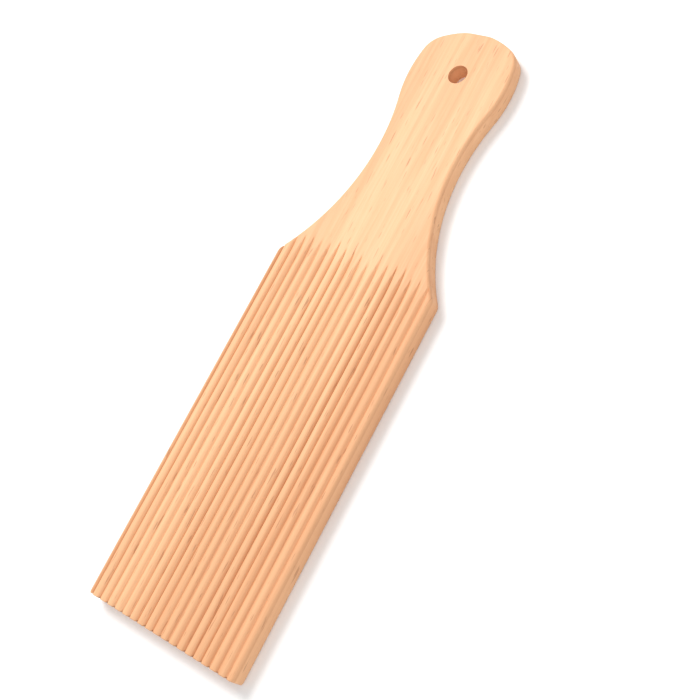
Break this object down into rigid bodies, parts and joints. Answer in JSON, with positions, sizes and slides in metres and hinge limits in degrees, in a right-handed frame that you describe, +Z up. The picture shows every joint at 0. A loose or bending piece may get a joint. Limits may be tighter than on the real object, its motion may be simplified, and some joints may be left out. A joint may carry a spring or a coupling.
{
  "type": "gnocchi board",
  "caption": "Wooden paddle for rolling gnocchi, with a finely ridged blade, a waisted handle and a hanging hole in its rounded head.",
  "frame": {"origin": "centre of the bounding box at the underside, where the board lies on a table", "axes": "+Z up out of the ridged face, +Y along the board towards the handle's hanging hole, +X across the blade"},
  "size_m": [0.062, 0.2164, 0.0065],
  "materials": {
    "beech": "sanded, unvarnished"
  },
  "bodies": {
    "root": {"ridged_board": "beech"}
  },
  "joints": []
}
